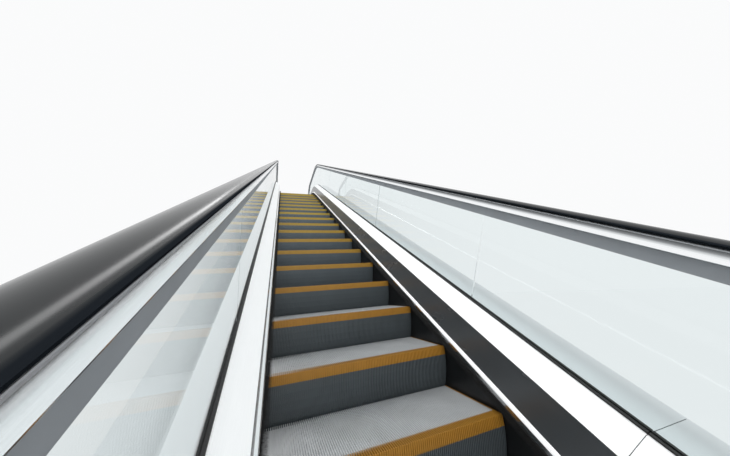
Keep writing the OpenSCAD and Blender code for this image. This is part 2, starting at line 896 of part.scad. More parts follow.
side(-1) lower_truss();  // lower_truss_left
side(1) lower_truss();  // lower_truss_right
side(-1) incline_truss();  // incline_truss_left
side(1) incline_truss();  // incline_truss_right
side(-1) upper_truss();  // upper_truss_left
side(1) upper_truss();  // upper_truss_right
cross_frames();
bottom_pan();
lower_bearing();
upper_bearing();
side(-1) side_cladding();  // side_cladding_left
side(1) side_cladding();  // side_cladding_right
lower_floor_plate();
upper_floor_plate();
comb_plates();
combs();
steps();
step_edging();
step_chains();
step_tracks();
chain_wheels();
side(-1) skirt();  // skirt_left
side(1) skirt();  // skirt_right
side(-1) skirt_strip();  // skirt_strip_left
side(1) skirt_strip();  // skirt_strip_right
side(-1) skirt_brush();  // skirt_brush_left
side(1) skirt_brush();  // skirt_brush_right
side(-1) inner_panel();  // inner_panel_left
side(1) inner_panel();  // inner_panel_right
side(-1) inner_deck();  // inner_deck_left
side(1) inner_deck();  // inner_deck_right
side(-1) outer_deck();  // outer_deck_left
side(1) outer_deck();  // outer_deck_right
side(-1) glass_clamp();  // glass_clamp_left
side(1) glass_clamp();  // glass_clamp_right
balustrade_brackets();
side(-1) glass();  // glass_left
side(1) glass();  // glass_right
side(-1) handrail_guide();  // handrail_guide_left
side(1) handrail_guide();  // handrail_guide_right
side(-1) handrail();  // handrail_left
side(1) handrail();  // handrail_right
handrail_inlets();
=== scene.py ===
"""Escalator seen from its own steps: fine forms, finishes, camera and light.

Steps, combs and skirt brushes are built here with cleats, teeth and bristles, in place of
the plain solids. Every other solid stays and gets its finish. Lengths are in metres.
"""

import json
import math
import random

import bmesh
import bpy
from mathutils import Matrix, Vector


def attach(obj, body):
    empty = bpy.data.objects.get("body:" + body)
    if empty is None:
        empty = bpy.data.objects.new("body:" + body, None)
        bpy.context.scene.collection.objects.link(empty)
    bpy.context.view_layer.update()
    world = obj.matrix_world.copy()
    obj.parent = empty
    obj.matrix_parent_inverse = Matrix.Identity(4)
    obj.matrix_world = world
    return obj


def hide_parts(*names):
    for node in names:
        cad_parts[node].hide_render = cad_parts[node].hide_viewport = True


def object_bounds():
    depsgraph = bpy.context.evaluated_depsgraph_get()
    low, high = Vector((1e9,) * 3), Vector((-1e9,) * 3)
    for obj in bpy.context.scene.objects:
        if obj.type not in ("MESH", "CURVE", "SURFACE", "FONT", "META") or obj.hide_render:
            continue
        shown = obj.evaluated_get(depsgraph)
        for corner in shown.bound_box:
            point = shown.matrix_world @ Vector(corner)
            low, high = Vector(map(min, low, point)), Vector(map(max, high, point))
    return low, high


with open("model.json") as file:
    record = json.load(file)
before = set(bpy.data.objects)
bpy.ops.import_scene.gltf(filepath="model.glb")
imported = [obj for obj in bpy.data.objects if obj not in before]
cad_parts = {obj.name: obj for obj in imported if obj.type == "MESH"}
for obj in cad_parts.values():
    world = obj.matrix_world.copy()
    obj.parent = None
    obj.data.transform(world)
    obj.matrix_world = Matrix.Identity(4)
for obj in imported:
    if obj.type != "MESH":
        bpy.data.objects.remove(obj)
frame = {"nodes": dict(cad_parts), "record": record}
cad_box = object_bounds()
nodes = frame["nodes"]
random.seed(7)

# Course of the steps, as in the solids
RISE = 5.0
INCLINE = math.radians(30)
LOWER_R = 1.0
UPPER_R = 1.5
LOWER_END = 2.3
BEARING_REACH = 0.120
FLOOR_ABOVE_SEAT = 0.200
LOWER_COMB_Y = 1.1
UPPER_COMB_Y = 1.25
NOSE_UNDER_COMB = 0.04
STEPS_UNDER_COMB = 2

# Steps, as in the solids
HALF_W = 0.5
STEP_PITCH = 0.405
STEP_GAP = 0.005
TREAD_T = 0.026
RISER_T = 0.016
RISER_LAP = 0.024
EDGING_W = 0.045
EDGING_H = 0.042
WEB_T = 0.010
WEB_INSET = 0.003
AXLE_BACK = 0.330
AXLE_DROP = 0.105
AXLE_R = 0.013
TRAIL_BACK = 0.118
TRAIL_DROP = 0.196
TRAIL_GAP = 0.006
ROLLER_R = 0.038
ROLLER_W = 0.026
ROLLER_OUT = 0.032

# Landings and balustrade, as in the solids
COMB_RISE = 0.022
COMB_D = 0.120
PLATE_T = 0.018
SKIRT_GAP = 0.004
SKIRT_TOP = 0.089
GLASS_OUT = 0.120
GLASS_T = 0.012
RAIL_H = 1.043
NEWEL_R = 0.420
NEWEL_OUT = 0.380
BASE_END = 0.120
INLET_L = 0.060

# Worked out from the above
RUN = RISE / math.tan(INCLINE)
HALF_TAN = math.tan(INCLINE / 2)
BEND_IN = -LOWER_R * HALF_TAN
BEND_OUT = RUN + UPPER_R * HALF_TAN
ARC_L = LOWER_R * INCLINE
ARC_U = UPPER_R * INCLINE
STRAIGHT_L = RUN / math.cos(INCLINE) - (LOWER_R + UPPER_R) * HALF_TAN
STRAIGHT_END = ARC_L + STRAIGHT_L
PATH_L = STRAIGHT_END + ARC_U
LWP_Y = BEARING_REACH / 2 + LOWER_END
TREAD_Z = FLOOR_ABOVE_SEAT - COMB_RISE
WEB_X = HALF_W - WEB_INSET
CHAIN_X = HALF_W + ROLLER_OUT + ROLLER_W / 2
TRAIL_X = WEB_X - WEB_T - TRAIL_GAP - ROLLER_W
SKIRT_X = HALF_W + SKIRT_GAP
GLASS_X = HALF_W + GLASS_OUT
LOWER_NEWEL_Y = -LOWER_COMB_Y - NEWEL_OUT
UPPER_NEWEL_Y = RUN + UPPER_COMB_Y + NEWEL_OUT
NEWEL_Z = RAIL_H - NEWEL_R

SIDES = ((-1, "left"), (1, "right"))
LANDINGS = ((1, LWP_Y - LOWER_COMB_Y, TREAD_Z, "lower"),
            (-1, LWP_Y + RUN + UPPER_COMB_Y, TREAD_Z + RISE, "upper"))

# How short of the lower bend's end its last point is taken
JUST_BEFORE = 1e-9


def path_point(s):
    """Point of the nose path, as y and z from the lower working point."""
    if s < 0:
        return BEND_IN + s, 0.0
    if s < ARC_L:
        a = s / LOWER_R
        return BEND_IN + LOWER_R * math.sin(a), LOWER_R * (1 - math.cos(a))
    if s < STRAIGHT_END:
        y, z = path_point(ARC_L - JUST_BEFORE)
        t = s - ARC_L
        return y + t * math.cos(INCLINE), z + t * math.sin(INCLINE)
    if s < PATH_L:
        a = INCLINE - (s - STRAIGHT_END) / UPPER_R
        return BEND_OUT - UPPER_R * math.sin(a), RISE - UPPER_R * (1 - math.cos(a))
    return BEND_OUT + s - PATH_L, RISE


def path_angle(s):
    """Slope of the nose path."""
    if s < 0 or s > PATH_L:
        return 0.0
    if s < ARC_L:
        return s / LOWER_R
    if s < STRAIGHT_END:
        return INCLINE
    return INCLINE - (s - STRAIGHT_END) / UPPER_R


CHORD_SLACK = 0.001
ARC_MOST = 1.1
HALVINGS = 30


def chord_length(s):
    """Length of path from s to the point one step pitch away, measured as a chord."""
    y, z = path_point(s)
    low, high = STEP_PITCH - CHORD_SLACK, STEP_PITCH * ARC_MOST
    for _ in range(HALVINGS):
        mid = (low + high) / 2
        far_y, far_z = path_point(s + mid)
        if math.hypot(far_y - y, far_z - z) < STEP_PITCH:
            low = mid
        else:
            high = mid
    return low


def step_places():
    """Where the nose of each step lies, as y and z."""
    s = NOSE_UNDER_COMB - LOWER_COMB_Y - STEPS_UNDER_COMB * STEP_PITCH - BEND_IN
    upper_comb_s = RUN + UPPER_COMB_Y - BEND_OUT + PATH_L
    # The first step, and one past the upper comb
    count = math.floor((upper_comb_s - s) / STEP_PITCH) + 2
    places = []
    for _ in range(count):
        y, z = path_point(s)
        places.append((y + LWP_Y, z + TREAD_Z))
        s += chord_length(s)
    return places


# Helpers for materials

NOISE_LOW, NOISE_HIGH = 0.3, 0.7
COLOUR_DETAIL, ROUGH_DETAIL, GRAIN_DETAIL, WIDE_DETAIL = 4.0, 5.0, 2.0, 2.0
ROUGH_SCALE = 3.1
EVEN = (1, 1, 1)


def new_material(name):
    """A material with its node tree and its shader."""
    m = bpy.data.materials.new(name)
    m.use_nodes = True
    return m, m.node_tree, m.node_tree.nodes["Principled BSDF"]


def grey(value):
    return (value, value, value, 1.0)


def shades(colour, low, high):
    """A colour darkened or lightened by each of two factors."""
    return [tuple(c * k for c in colour) + (1.0,) for k in (low, high)]


def set_in(bsdf, **values):
    """Sets inputs by their names, with _ for a space."""
    for key, value in values.items():
        bsdf.inputs[key.replace("_", " ")].default_value = value


def link(tree, a, b):
    tree.links.new(a, b)


def math_node(tree, operation, a, b=0.0):
    """One operation on two inputs, each a number or a socket."""
    node = tree.nodes.new("ShaderNodeMath")
    node.operation = operation
    for socket, value in zip(node.inputs, (a, b)):
        if isinstance(value, (int, float)):
            socket.default_value = value
        else:
            link(tree, value, socket)
    return node.outputs[0]


def map_range(tree, source, low, high, to_low=0.0, to_high=1.0):
    """A number carried from one range into another, and held at its ends."""
    node = tree.nodes.new("ShaderNodeMapRange")
    node.inputs["From Min"].default_value = low
    node.inputs["From Max"].default_value = high
    node.inputs["To Min"].default_value = to_low
    node.inputs["To Max"].default_value = to_high
    link(tree, source, node.inputs["Value"])
    return node.outputs["Result"]


def coordinates(tree, kind="Object"):
    return tree.nodes.new("ShaderNodeTexCoord").outputs[kind]


def separated(tree, vector):
    """The X, Y and Z of a vector."""
    node = tree.nodes.new("ShaderNodeSeparateXYZ")
    link(tree, vector, node.inputs[0])
    return node.outputs


def along_machine(tree):
    """Object coordinates turned so that Y runs along the escalator's path."""
    here = coordinates(tree)
    y = separated(tree, here)["Y"]
    low = LWP_Y + BEND_IN
    high = LWP_Y + BEND_OUT
    rising = map_range(tree, y, low, low + LOWER_R * math.sin(INCLINE), 0.0, INCLINE)
    level = map_range(tree, y, high - UPPER_R * math.sin(INCLINE), high, 0.0, INCLINE)
    turn = tree.nodes.new("ShaderNodeVectorRotate")
    turn.rotation_type = "X_AXIS"
    link(tree, here, turn.inputs["Vector"])
    link(tree, math_node(tree, "SUBTRACT", level, rising), turn.inputs["Angle"])
    return turn.outputs["Vector"]


def noise(tree, scale, detail, stretch=EVEN, along=False):
    """A noise in object coordinates, or in those along the machine, scaled by stretch."""
    mapping = tree.nodes.new("ShaderNodeMapping")
    mapping.inputs["Scale"].default_value = stretch
    tex = tree.nodes.new("ShaderNodeTexNoise")
    tex.inputs["Scale"].default_value = scale
    tex.inputs["Detail"].default_value = detail
    place = along_machine(tree) if along else coordinates(tree)
    link(tree, place, mapping.inputs["Vector"])
    link(tree, mapping.outputs["Vector"], tex.inputs["Vector"])
    return tex.outputs["Fac"]


def ramp(tree, source, stops):
    """A colour ramp from pairs of position and colour."""
    node = tree.nodes.new("ShaderNodeValToRGB")
    elements = node.color_ramp.elements
    elements[0].position, elements[0].color = stops[0]
    elements[1].position, elements[1].color = stops[-1]
    for position, colour in stops[1:-1]:
        elements.new(position).color = colour
    link(tree, source, node.inputs["Fac"])
    return node.outputs["Color"]


def wandering(tree, source, dark, light):
    """A colour that follows a noise from dark to light."""
    return ramp(tree, source, [(NOISE_LOW, dark), (NOISE_HIGH, light)])


def bump(tree, bsdf, source, distance):
    node = tree.nodes.new("ShaderNodeBump")
    node.inputs["Distance"].default_value = distance
    link(tree, source, node.inputs["Height"])
    link(tree, node.outputs["Normal"], bsdf.inputs["Normal"])


def multiplied(tree, a, b):
    """One colour times another."""
    node = tree.nodes.new("ShaderNodeMix")
    node.data_type = "RGBA"
    node.blend_type = "MULTIPLY"
    node.inputs["Factor"].default_value = 1.0
    link(tree, a, node.inputs[6])
    link(tree, b, node.inputs[7])
    return node.outputs[2]


def shade_base(m, shade):
    """Multiplies a material's base colour by a shade."""
    tree = m.node_tree
    base = tree.nodes["Principled BSDF"].inputs["Base Color"]
    plain = base.links[0].from_socket
    link(tree, multiplied(tree, plain, shade), base)


def mix_shaders(tree, factor, first, second, output):
    """Shows the first shader where factor is 0, and the second where it is 1."""
    mix = tree.nodes.new("ShaderNodeMixShader")
    link(tree, factor, mix.inputs["Fac"])
    link(tree, first.outputs[0], mix.inputs[1])
    link(tree, second.outputs[0], mix.inputs[2])
    link(tree, mix.outputs[0], output.inputs["Surface"])


# Materials

SHEET_STRETCH = (1, 0.4, 1.4)
BRUSH_STRETCH = (1.0, 0.02, 1.0)
BRUSH_SCALE = 700.0
BRUSH_LOW, BRUSH_HIGH = 0.97, 1.02
BRUSH_SPREAD = 0.03

# Scale and depth of a grain, and weight and roughness of a sheen
PAINT_GRAIN = (220.0, 0.00005)
SATIN_SHEEN = (0.16, 0.52)

# Colour, roughness, metallic share, darkest and lightest factor, scale of the mottling
MOTTLED = {
    "truss_paint": ((0.085, 0.095, 0.105), 0.50, 0.0, 0.85, 1.12, 4.0),
    "galvanised_sheet": ((0.46, 0.47, 0.48), 0.42, 0.8, 0.88, 1.08, 22.0),
    "side_panel": ((0.66, 0.66, 0.64), 0.38, 0.0, 0.98, 1.01, 2.0),
    "comb_yellow": ((0.55, 0.30, 0.035), 0.42, 0.0, 0.88, 1.06, 30.0),
    "step_aluminium": ((0.72, 0.735, 0.745), 0.44, 0.3, 0.93, 1.05, 7.0),
    "step_body": ((0.22, 0.225, 0.23), 0.55, 0.3, 0.85, 1.10, 12.0),
    "tyre": ((0.30, 0.10, 0.03), 0.50, 0.0, 0.90, 1.10, 20.0),
    "chain_steel": ((0.10, 0.10, 0.10), 0.36, 0.9, 0.75, 1.15, 18.0),
    "skirt_black": ((0.012, 0.013, 0.014), 0.34, 0.0, 0.90, 1.15, 3.0),
    "brush_black": ((0.006, 0.006, 0.006), 0.70, 0.0, 0.70, 1.30, 60.0),
    "gasket_black": ((0.012, 0.012, 0.012), 0.60, 0.0, 0.80, 1.20, 40.0),
    "guide_seal": ((0.34, 0.36, 0.385), 0.60, 0.0, 0.95, 1.05, 12.0),
    "screw_steel": ((0.45, 0.45, 0.46), 0.30, 1.0, 0.90, 1.10, 90.0),
    "ribbed_plate": ((0.50, 0.50, 0.50), 0.38, 0.85, 0.93, 1.05, 30.0),
    "panel_grey": ((0.058, 0.064, 0.070), 0.26, 0.1, 0.97, 1.00, 3.0),
}

# What some of these have besides
EXTRAS = {
    "truss_paint": {"grain": PAINT_GRAIN},
    "galvanised_sheet": {"rough_spread": 0.1},
    "skirt_black": {"stretch": SHEET_STRETCH},
    "panel_grey": {"stretch": SHEET_STRETCH, "rough_spread": 0.02, "specular": 0.8,
                   "sheen": SATIN_SHEEN},
}

# Colour, roughness and metallic share of metal brushed along the machine
BRUSHED = {
    "stainless": ((0.74, 0.74, 0.74), 0.34, 0.8),
    "inner_deck": ((0.95, 0.95, 0.95), 0.40, 0.1),
    "outer_deck": ((0.76, 0.765, 0.77), 0.42, 0.25),
    "polished_strip": ((0.92, 0.92, 0.93), 0.16, 1.0),
    "bead_grey": ((0.46, 0.47, 0.49), 0.45, 0.3),
    "guide_aluminium": ((0.96, 0.97, 0.98), 0.15, 1.0),
}

# Colour low on the flight and colour high on it, the high one paler as painted light,
# roughness, metallic share, scale
PAINTED_LIGHT_UP_FLIGHT = {
    "edging_yellow": ((0.44, 0.215, 0.027), (0.54, 0.39, 0.058), 0.50, 0.0, 26.0),
    "riser_dark": ((0.088, 0.104, 0.112), (0.135, 0.170, 0.198), 0.45, 0.1, 10.0),
}
# Heights between which the painted light on these surfaces passes from the low colour to the
# high one
PAINTED_LIGHT_FROM, PAINTED_LIGHT_TO = TREAD_Z + RISE * 0.39, TREAD_Z + RISE * 0.70
# Darkest and lightest factor of their random mottling
FLIGHT_MOTTLE_LOW, FLIGHT_MOTTLE_HIGH = grey(0.9), grey(1.0)


def mottled(name, colour, roughness, metallic, low, high, scale, stretch=EVEN,
            rough_spread=0.06, grain=None, sheen=None, along=False, specular=0.5):
    """A surface whose colour and roughness wander a little. It can have grain or sheen."""
    m, tree, bsdf = new_material(name)
    dark, light = shades(colour, low, high)
    wander = noise(tree, scale, COLOUR_DETAIL, stretch, along)
    link(tree, wandering(tree, wander, dark, light), bsdf.inputs["Base Color"])
    dulling = noise(tree, scale * ROUGH_SCALE, ROUGH_DETAIL, stretch, along)
    link(tree, map_range(tree, dulling, NOISE_LOW, NOISE_HIGH, roughness - rough_spread,
                         roughness + rough_spread), bsdf.inputs["Roughness"])
    set_in(bsdf, Metallic=metallic, Specular_IOR_Level=specular)
    if grain:
        bump(tree, bsdf, noise(tree, grain[0], GRAIN_DETAIL), grain[1])
    if sheen:
        set_in(bsdf, Sheen_Weight=sheen[0], Sheen_Roughness=sheen[1])
    return m


def brushed(name, colour, roughness, metallic):
    """Sheet metal brushed along the machine: fine streaks in colour and gloss."""
    return mottled(name, colour, roughness, metallic, BRUSH_LOW, BRUSH_HIGH, BRUSH_SCALE,
                   BRUSH_STRETCH, BRUSH_SPREAD, along=True)


def painted_light_up_flight(name, near, far, roughness, metallic, scale):
    """A surface that pales from the lower to the upper part of the flight: painted light, as
    if the upper steps were more brightly lit.
    """
    m, tree, bsdf = new_material(name)
    place = tree.nodes.new("ShaderNodeNewGeometry").outputs["Position"]
    height = map_range(tree, separated(tree, place)["Z"], PAINTED_LIGHT_FROM, PAINTED_LIGHT_TO)
    link(tree, ramp(tree, height, [(0.0, near + (1,)), (1.0, far + (1,))]),
         bsdf.inputs["Base Color"])
    shade_base(m, wandering(tree, noise(tree, scale, COLOUR_DETAIL), FLIGHT_MOTTLE_LOW, FLIGHT_MOTTLE_HIGH))
    set_in(bsdf, Roughness=roughness, Metallic=metallic)
    return m


GLASS_IOR = 1.18
GLASS_ROUGHNESS = 0.02
GLASS_SCALE = 0.6
GLASS_DARK, GLASS_LIGHT = (0.825, 0.880, 0.885, 1), (0.845, 0.895, 0.900, 1)
GLASS_TINT = (0.85, 0.90, 0.905, 1)


def glass_material():
    """Toughened glass, pale green. It casts no shadow but only tints the light."""
    m, tree, bsdf = new_material("glass")
    set_in(bsdf, Roughness=GLASS_ROUGHNESS, IOR=GLASS_IOR, Transmission_Weight=1.0)
    wander = noise(tree, GLASS_SCALE, WIDE_DETAIL)
    link(tree, wandering(tree, wander, GLASS_DARK, GLASS_LIGHT), bsdf.inputs["Base Color"])
    rays = tree.nodes.new("ShaderNodeLightPath").outputs
    clear = tree.nodes.new("ShaderNodeBsdfTransparent")
    clear.inputs["Color"].default_value = GLASS_TINT
    unseen = math_node(tree, "MAXIMUM", rays["Is Shadow Ray"], rays["Is Diffuse Ray"])
    mix_shaders(tree, unseen, bsdf, clear, tree.nodes["Material Output"])
    return m


# Where the handrail's crown turns into its sides, as the sideways share of its normal
SIDE_FROM, SIDE_FULL = 0.565, 0.605
RUBBER_SCALE = 5.0
RUBBER_DARK, RUBBER_LIGHT = (0.012, 0.014, 0.015, 1), (0.014, 0.016, 0.017, 1)
RUBBER_SIDE = (0.012, 0.0145, 0.018, 1)


def handrail_material():
    """Black rubber, glossy on top where palms polish it and dull on its sides."""
    m, tree, bsdf = new_material("handrail_rubber")
    wear = noise(tree, RUBBER_SCALE, COLOUR_DETAIL)
    link(tree, wandering(tree, wear, RUBBER_DARK, RUBBER_LIGHT), bsdf.inputs["Base Color"])
    set_in(bsdf, Roughness=0.18, Specular_IOR_Level=0.32)
    dull = tree.nodes.new("ShaderNodeBsdfDiffuse")
    dull.inputs["Color"].default_value = RUBBER_SIDE
    sideways = math_node(tree, "ABSOLUTE", separated(tree, coordinates(tree, "Normal"))["X"])
    mix_shaders(tree, map_range(tree, sideways, SIDE_FROM, SIDE_FULL), bsdf, dull,
                tree.nodes["Material Output"])
    return m


# The guide is dark up to HOLLOW_IN from the glass's middle and bright from HOLLOW_OUT on:
# painted shade in the hollow under the handrail's lip
HOLLOW_IN, HOLLOW_OUT = 0.018, 0.022
PAINTED_HOLLOW_SHADES = [(0.0, (0.12, 0.125, 0.13, 1)), (0.1, (0.17, 0.175, 0.18, 1)),
                 (0.33, (0.54, 0.55, 0.56, 1)), (0.65, (0.95, 0.96, 0.96, 1)),
                 (1.0, grey(1.0))]


def paint_hollow_shade(m):
    """Paints shade on the handrail guide's inner faces near the glass, in the hollow under
    the handrail's lip.
    """
    tree = m.node_tree
    side = math_node(tree, "ABSOLUTE", separated(tree, coordinates(tree))["X"])
    off = math_node(tree, "ABSOLUTE", math_node(tree, "SUBTRACT", side, GLASS_X))
    depth = map_range(tree, off, HOLLOW_IN, HOLLOW_OUT)
    shade_base(m, ramp(tree, depth, PAINTED_HOLLOW_SHADES))


RIB_PITCH = 0.010
RIB_RELIEF = 0.0006
RIB_SHADES = [(0.0, grey(0.55)), (0.35, grey(1.0))]


def give_ribs(m):
    """Adds shallow ribs along the machine, as floor plates have, with the base colour darker
    in the grooves.
    """
    tree = m.node_tree
    x = separated(tree, coordinates(tree))["X"]
    wave = math_node(tree, "SINE", math_node(tree, "MULTIPLY", x, 2 * math.pi / RIB_PITCH))
    shade_base(m, ramp(tree, wave, RIB_SHADES))
    bump(tree, tree.nodes["Principled BSDF"], wave, RIB_RELIEF)


MATS = {name: mottled(name, *look, **EXTRAS.get(name, {})) for name, look in MOTTLED.items()}
MATS.update({name: brushed(name, *look) for name, look in BRUSHED.items()})
MATS.update({name: painted_light_up_flight(name, *look) for name, look in PAINTED_LIGHT_UP_FLIGHT.items()})
MATS["glass"] = glass_material()
MATS["handrail_rubber"] = handrail_material()
# Painted shade in the hollow of the handrail guides
paint_hollow_shade(MATS["guide_aluminium"])
give_ribs(MATS["ribbed_plate"])

# Nodes whose finish differs from that of their material slot
LOOKS = {"inner_deck_left": "inner_deck", "inner_deck_right": "inner_deck",
         "outer_deck_left": "outer_deck", "outer_deck_right": "outer_deck",
         "lower_floor_plate": "ribbed_plate", "upper_floor_plate": "ribbed_plate",
         "comb_plates": "ribbed_plate"}

for part in frame["record"]["subparts"]:
    finish = LOOKS.get(part["node"], part["material_slot"])
    node_mats = nodes[part["node"]].data.materials
    node_mats.clear()
    node_mats.append(MATS[finish])


# Pieces

def mesh_object(name, verts, faces, looks, face_looks=None):
    """A piece from points and faces, which takes its finish from a material slot."""
    mesh = bpy.data.meshes.new(name)
    mesh.from_pydata(verts, [], faces)
    for look in looks:
        mesh.materials.append(MATS[look])
    if face_looks:
        for poly, index in zip(mesh.polygons, face_looks):
            poly.material_index = index
    bm = bmesh.new()
    bm.from_mesh(mesh)
    bmesh.ops.recalc_face_normals(bm, faces=bm.faces)
    bm.to_mesh(mesh)
    bm.free()
    obj = bpy.data.objects.new(name, mesh)
    bpy.context.scene.collection.objects.link(obj)
    return obj


def add_plate(outline, x1, x2, verts, faces, mats, index):
    """Adds a plate with a side-view outline to a mesh under construction."""
    base = len(verts)
    n = len(outline)
    verts += [(x1, y, z) for y, z in outline] + [(x2, y, z) for y, z in outline]
    faces.append([base + i for i in range(n)])
    faces.append([base + n + i for i in reversed(range(n))])
    for i in range(n):
        j = (i + 1) % n
        faces.append([base + i, base + n + i, base + n + j, base + j])
    mats += [index] * (n + 2)


def add_turned(profile, centre, sides, verts, faces, mats, index):
    """Adds a body turned about an axis along X: profile is pairs of x and radius."""
    base = len(verts)
    for x, r in profile:
        for k in range(sides):
            a = 2 * math.pi * k / sides
            verts.append((x, centre[0] + r * math.cos(a), centre[1] + r * math.sin(a)))
    for i in range(len(profile) - 1):
        for k in range(sides):
            j = (k + 1) % sides
            p, q = base + i * sides, base + (i + 1) * sides
            faces.append([p + k, p + j, q + j, q + k])
            mats.append(index)
    faces.append([base + k for k in range(sides)])
    last = base + (len(profile) - 1) * sides
    faces.append([last + k for k in reversed(range(sides))])
    mats += [index, index]


# What the faces of a step are finished as, by material index
TREAD, EDGING, RISER, BODY, TYRE = range(5)
STEP_LOOKS = ["step_aluminium", "edging_yellow", "riser_dark", "step_body", "tyre"]

# Skin of a step: cleats on the tread, ribs on the riser
CLEAT_PITCH = 0.009
CLEAT_TOP = 0.0034
CLEAT_FOOT = 0.0046
CLEAT_DEPTH = 0.011
CLEAT_COUNT = int(round(2 * HALF_W / CLEAT_PITCH))
RIB_DEPTH = 0.006
NOSE_R = 0.003
NOSE_FLAT = 0.020
RISER_ROWS = 5

# Width of the yellow line along the tread's sides
SIDE_EDGING = 0.0135

# Rows over the nose: outer point, y of the inner point, and dip of a groove
NOSE_ROWS = (((0.012, 0.0), 0.022, (0, -CLEAT_DEPTH)),
             ((NOSE_R, 0.0), 0.019, (0.003, -CLEAT_DEPTH * 0.8)),
             ((0.0008, -0.0008), 0.018, (0.005, -0.006)))


def cleat_columns():
    """Across a step: x, and depth from 0 at a cleat's top to 1 in a groove."""
    start = -CLEAT_COUNT * CLEAT_PITCH / 2
    columns = [(-HALF_W, 1.0)]
    for i in range(CLEAT_COUNT):
        mid = start + (i + 0.5) * CLEAT_PITCH
        columns += [(mid - CLEAT_FOOT / 2, 1.0), (mid - CLEAT_TOP / 2, 0.0),
                    (mid + CLEAT_TOP / 2, 0.0), (mid + CLEAT_FOOT / 2, 1.0)]
    columns.append((HALF_W, 1.0))
    return columns


def arc_y(r, z):
    """Face of the riser: an arc of radius r about the point one pitch behind the nose."""
    return STEP_PITCH - math.sqrt(r * r - z * z)


def riser_row(z, inner_z, region):
    """A row of the riser's face at height z."""
    return ((arc_y(STEP_PITCH, z), z), (arc_y(STEP_PITCH - RISER_T, inner_z), inner_z),
            (RIB_DEPTH, 0), region)


def skin_rows():
    """Rows of the skin from the tread's back edge over the nose to the riser's foot:
    outer point, inner point, dip of a groove, and the region that starts at the row."""
    back = STEP_PITCH - STEP_GAP
    foot = -(STEP_PITCH * math.sin(INCLINE) + RISER_LAP)
    groove = (0, -CLEAT_DEPTH)
    rows = [((back, 0.0), (back, -TREAD_T), groove, TREAD),
            ((EDGING_W, 0.0), (EDGING_W, -TREAD_T), groove, EDGING)]
    rows += [(outer, (inner_y, -TREAD_T), dip, EDGING) for outer, inner_y, dip in NOSE_ROWS]
    for z, region in ((-NOSE_R, EDGING), (-NOSE_FLAT, EDGING), (-EDGING_H, RISER)):
        rows.append(riser_row(z, min(z, -TREAD_T), region))
    for i in range(1, RISER_ROWS + 1):
        z = -EDGING_H + (foot + EDGING_H) * i / RISER_ROWS
        rows.append(riser_row(z, z, RISER))
    return rows


def add_skin(verts, faces, mats):
    """Adds tread, edging and riser as one closed skin to a mesh under construction."""
    columns = cleat_columns()
    rows = skin_rows()
    wide = len(columns)
    for outer, _, dip, _ in rows:
        for x, depth in columns:
            verts.append((x, outer[0] + dip[0] * depth, outer[1] + dip[1] * depth))
    side = [abs(x) > HALF_W - SIDE_EDGING for x, _ in columns]
    for i in range(len(rows) - 1):
        region = rows[i][3]
        for j in range(wide - 1):
            a = i * wide + j
            faces.append([a, a + wide, a + wide + 1, a + 1])
            edge = region == TREAD and side[j] and side[j + 1]
            mats.append(EDGING if edge else region)
    base = len(verts)
    for _, inner, _, _ in rows:
        verts.append((-HALF_W, inner[0], inner[1]))
        verts.append((HALF_W, inner[0], inner[1]))
    for i in range(len(rows) - 1):
        a = base + 2 * i
        faces.append([a, a + 1, a + 3, a + 2])
        mats.append(BODY)
        for end, column in ((0, 0), (1, wide - 1)):
            faces.append([i * wide + column, (i + 1) * wide + column, a + 2 + end, a + end])
            mats.append(BODY)
    for i in (0, len(rows) - 1):
        a = base + 2 * i
        faces.append([i * wide + j for j in range(wide)] + [a + 1, a])
        mats.append(BODY)


# Side views of a step's webs and of the low ribs under its tread
WEB = [(0.030, -TREAD_T), (0.386, -TREAD_T), (0.389, -0.034), (0.366, -0.104),
       (0.352, -0.128), (0.318, -0.134), (0.150, -0.208), (0.128, -0.218),
       (0.094, -0.2225), (0.060, -0.15), (0.030, -0.06)]
TREAD_RIB = [(0.04, -TREAD_T), (0.38, -TREAD_T), (0.34, -0.046), (0.09, -0.062),
             (0.046, -0.075)]
TREAD_RIB_X = (-0.30, -0.15, 0.15, 0.30)
TREAD_RIB_HALF = 0.003


def add_webs(verts, faces, mats):
    for x in (-WEB_X, -WEB_T / 2, WEB_X - WEB_T):
        add_plate(WEB, x, x + WEB_T, verts, faces, mats, BODY)
    for x in TREAD_RIB_X:
        add_plate(TREAD_RIB, x - TREAD_RIB_HALF, x + TREAD_RIB_HALF, verts, faces, mats, BODY)


# Rollers and pins
AXLE_SIDES = 20
ROLLER_SIDES = 28
TYRE_ROUND = 0.003
HUB_RECESS = 0.002
HUB_SHARE, RECESS_SHARE, TYRE_SHARE = 0.42, 0.78, 0.80
COLLAR_R = AXLE_R * 1.6
COLLAR_SLOPE = 0.002
AXLE_PAST_CHAIN = 0.0145
PIN_R = AXLE_R * 0.7
PIN_PAST_ROLLER, PIN_IN_WEB = 0.003, 0.002


def roller_profile(x1, x2):
    """Half a roller in section: hub recessed on both faces, tyre with rounded edges."""
    r = ROLLER_R
    return [(x1 + HUB_RECESS, r * HUB_SHARE), (x1 + HUB_RECESS, r * RECESS_SHARE),
            (x1, r * TYRE_SHARE), (x1, r - TYRE_ROUND), (x1 + TYRE_ROUND, r),
            (x2 - TYRE_ROUND, r), (x2, r - TYRE_ROUND), (x2, r * TYRE_SHARE),
            (x2 - HUB_RECESS, r * RECESS_SHARE), (x2 - HUB_RECESS, r * HUB_SHARE)]


